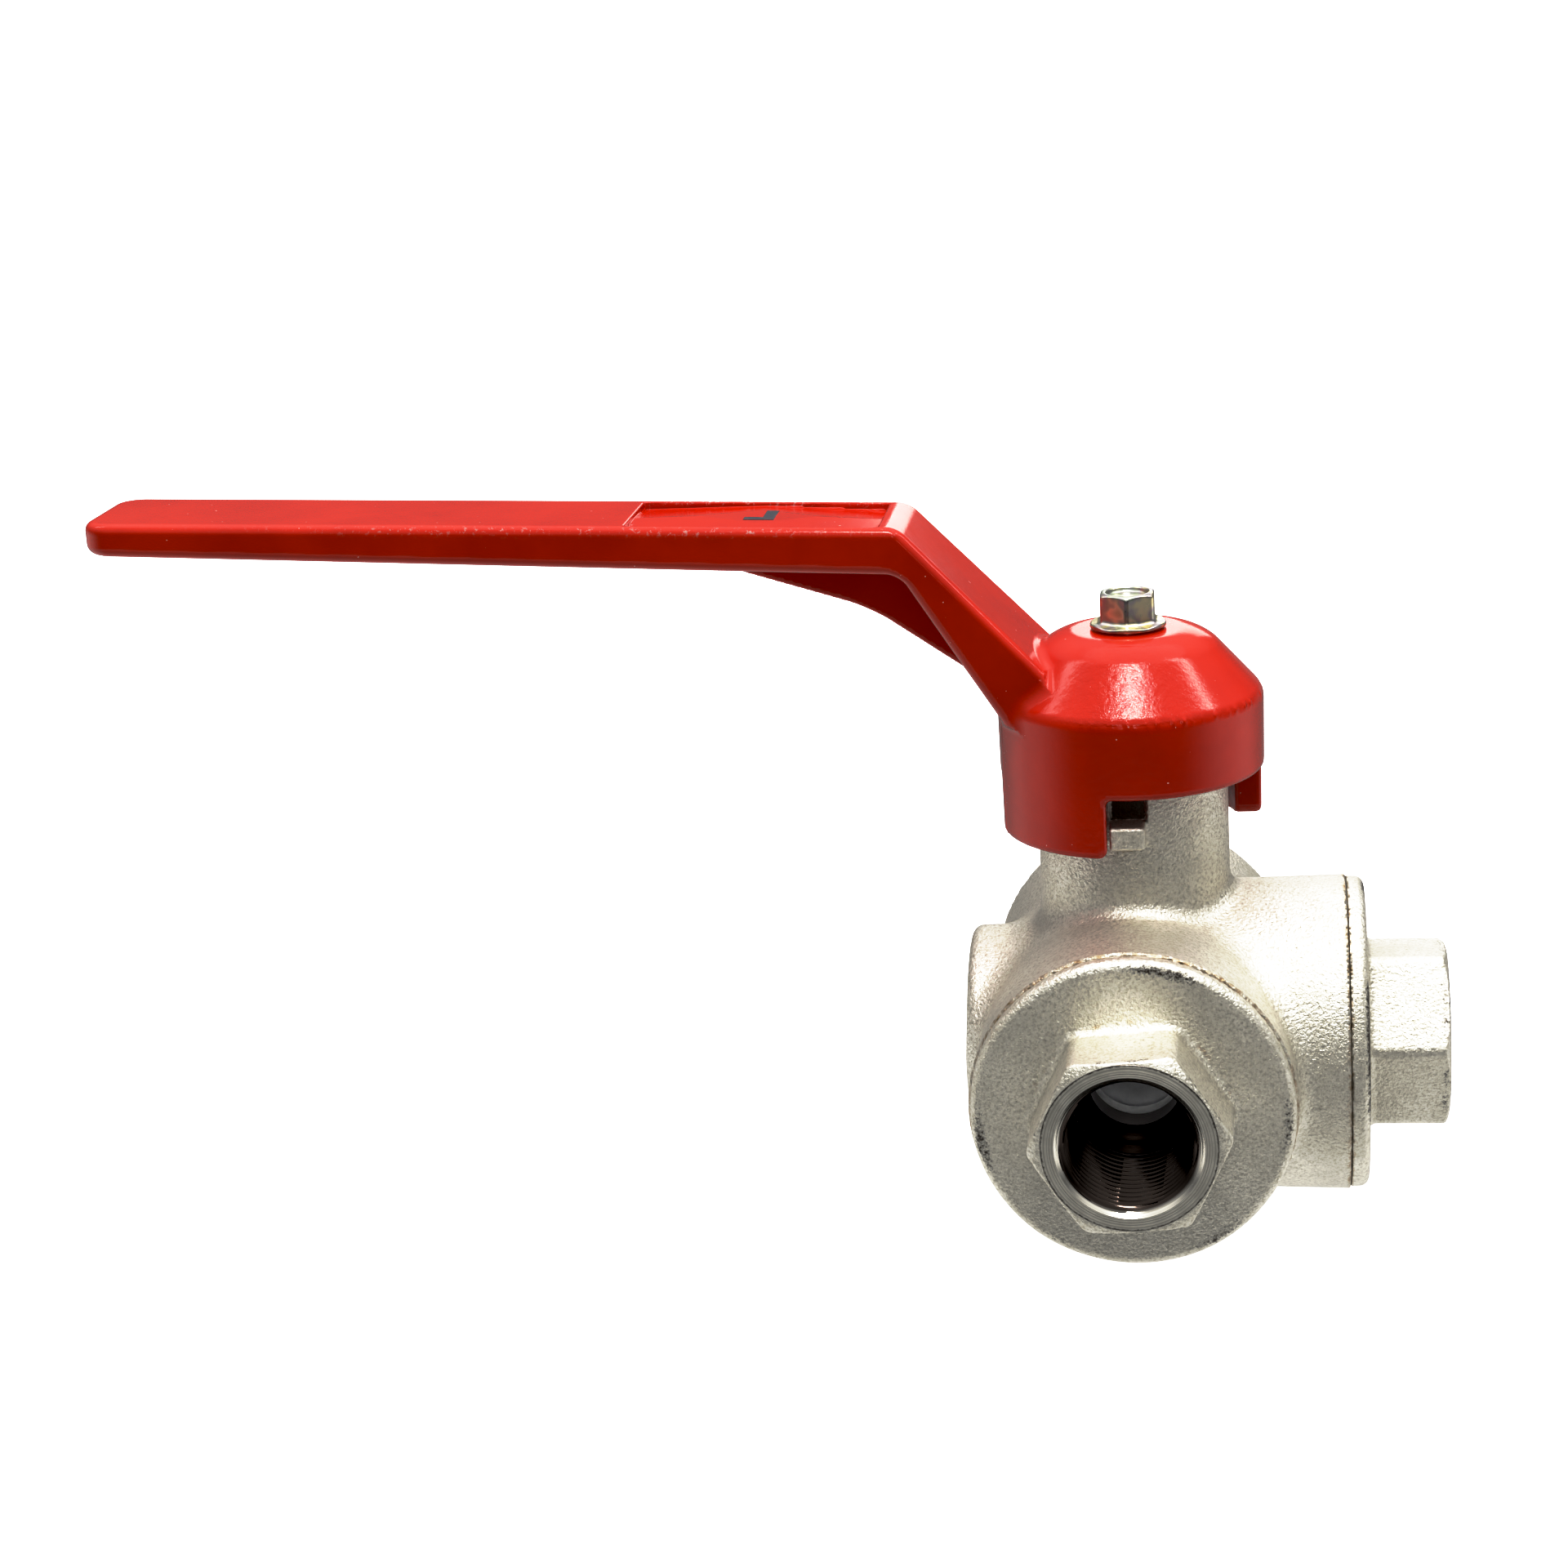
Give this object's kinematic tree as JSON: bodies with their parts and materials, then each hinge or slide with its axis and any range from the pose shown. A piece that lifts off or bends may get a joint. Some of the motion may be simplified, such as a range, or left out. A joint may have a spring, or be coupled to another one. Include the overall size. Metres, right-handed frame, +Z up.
{
  "type": "three-way ball valve",
  "caption": "Three-way L-port ball valve in a forged body, with screwed end caps, female pipe threads and a long red quarter-turn lever.",
  "frame": {"origin": "crossing of the three port axes with the stem axis, at the centre of the ball", "axes": "+X out of the right port, -Y out of the front port, +Y out of the rear port, +Z up the stem; the lever points along -X at rest"},
  "size_m": [0.205, 0.0936, 0.1111],
  "materials": {
    "nickel_plated_brass": "satin nickel plating over a fine-grained forging",
    "brass": "turned, bare",
    "polished_chrome": "mirror polished",
    "ptfe": "matte white",
    "nitrile_rubber": "matte black",
    "red_paint": "gloss red stove enamel over a die casting, chipped along the upper edge",
    "yellow_zinc": "yellow-passivated zinc plating with green and purple tints",
    "dark_print": "printed blue-black mark"
  },
  "bodies": {
    "body": {"valve_body": "nickel_plated_brass", "end_cap_front": "nickel_plated_brass", "end_cap_right": "nickel_plated_brass", "end_cap_rear": "nickel_plated_brass", "cap_seal_front": "nitrile_rubber", "cap_seal_right": "nitrile_rubber", "cap_seal_rear": "nitrile_rubber", "seat_front": "ptfe", "seat_right": "ptfe", "seat_rear": "ptfe", "seat_blind": "ptfe", "stem_thrust_washer": "ptfe", "packing_ring_lower": "ptfe", "packing_ring_upper": "ptfe", "gland_nut": "brass"},
    "lever": {"lever": "red_paint", "lever_bolt": "yellow_zinc", "flow_mark": "dark_print", "stem": "brass", "ball": "polished_chrome", "stem_o_ring_lower": "nitrile_rubber", "stem_o_ring_upper": "nitrile_rubber"}
  },
  "joints": [
    {"name": "lever_turn", "type": "hinge", "parent": "body", "child": "lever", "pos_m": [0, 0, 0], "axis": [0, 0, 1], "range_deg": [-90, 0]}
  ]
}
